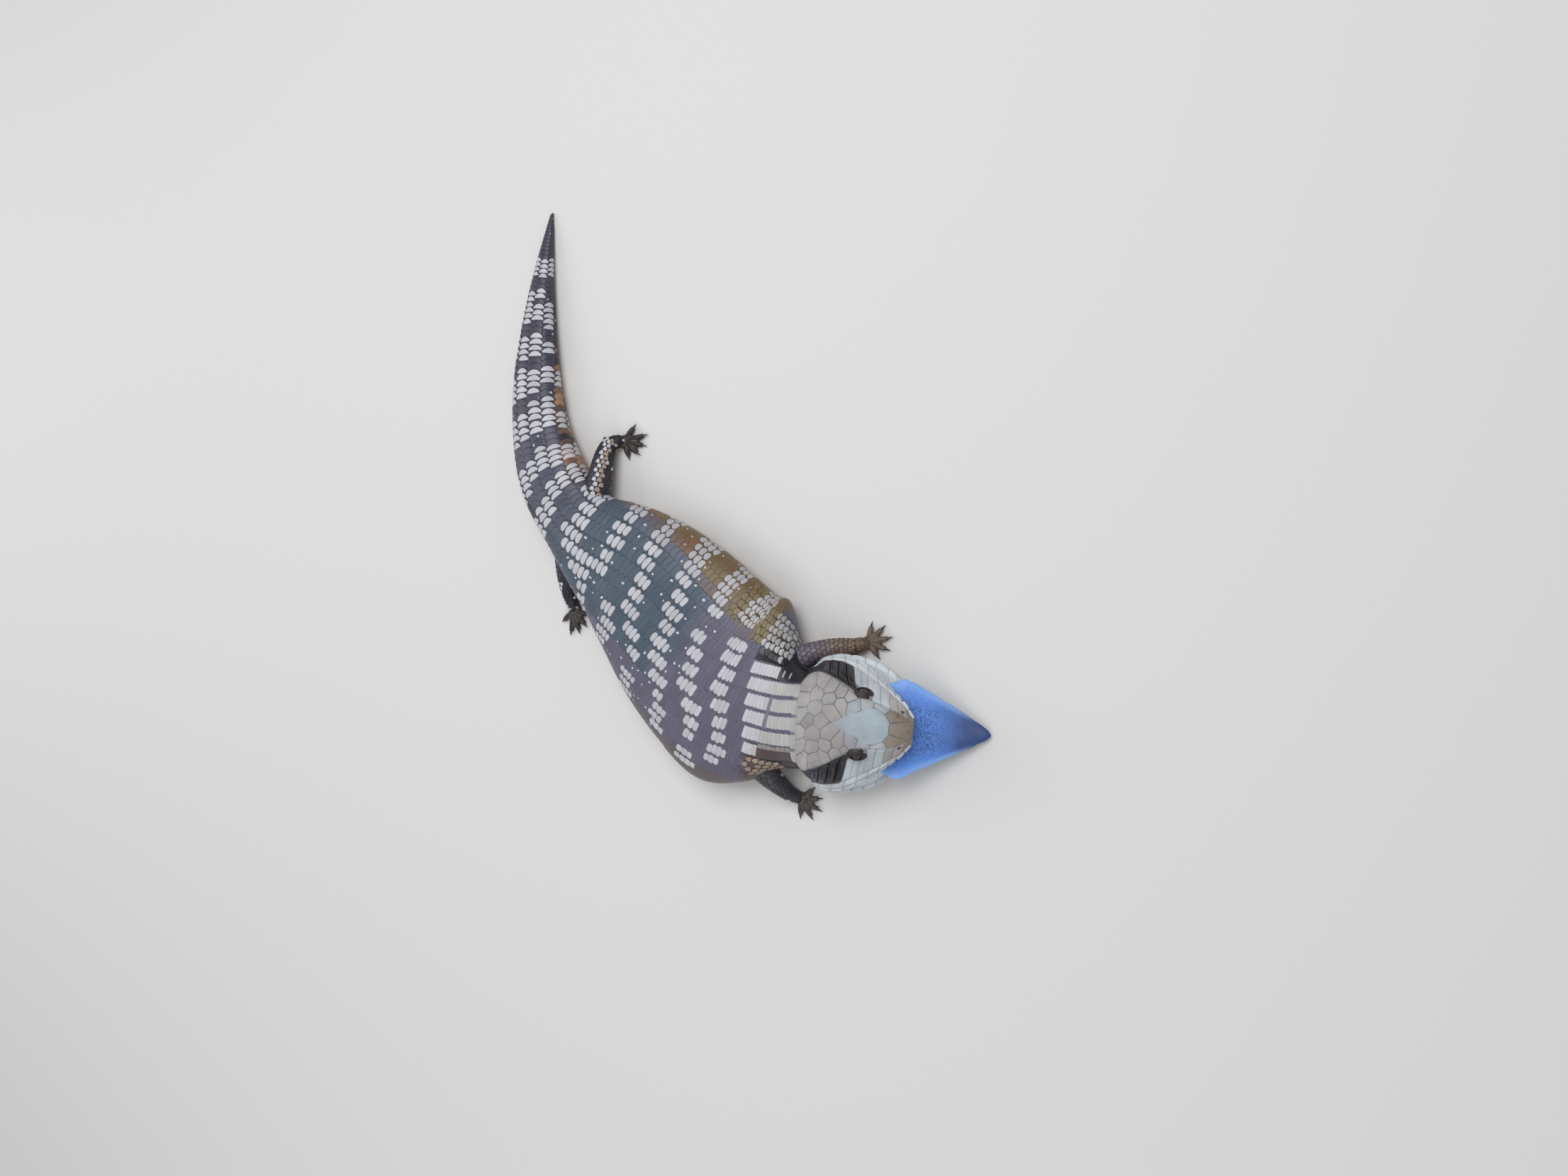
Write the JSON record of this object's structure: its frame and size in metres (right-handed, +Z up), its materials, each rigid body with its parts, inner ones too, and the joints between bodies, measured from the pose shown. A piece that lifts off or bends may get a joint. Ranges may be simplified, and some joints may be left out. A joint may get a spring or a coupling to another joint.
{
  "type": "blue tongued skink",
  "caption": "Life-size still model of a blue-tongued skink lying flattened on its belly, tail curved to the side, mouth open and its broad blue tongue pushed out.",
  "frame": {"origin": "on the floor, where the belly rests under the middle of the back", "axes": "+X from the tail towards the head, +Y to the animal's left, +Z up from the floor"},
  "size_m": [0.4579, 0.1931, 0.0495],
  "materials": {
    "scales": "satin overlapping scales, slate grey with rows of pale blotches",
    "shields": "satin head shields, pale grey to blue-grey with a dark streak behind each eye",
    "tongue": "moist, finely pimpled, cobalt blue",
    "eyes": "wet gloss, red-brown iris round a dark pupil",
    "feet": "satin dark scales with hard dark claws"
  },
  "bodies": {
    "root": {"neck": "scales", "torso_front": "scales", "torso_middle": "scales", "torso_rear": "scales", "tail_base": "scales", "tail_middle": "scales", "tail_point": "scales", "head": "shields", "lower_jaw": "shields", "tongue": "tongue", "eye_left": "eyes", "eye_right": "eyes", "foreleg_left": "scales", "foreleg_right": "scales", "hindleg_left": "scales", "hindleg_right": "scales", "forefoot_left": "feet", "forefoot_right": "feet", "hindfoot_left": "feet", "hindfoot_right": "feet"}
  },
  "joints": []
}
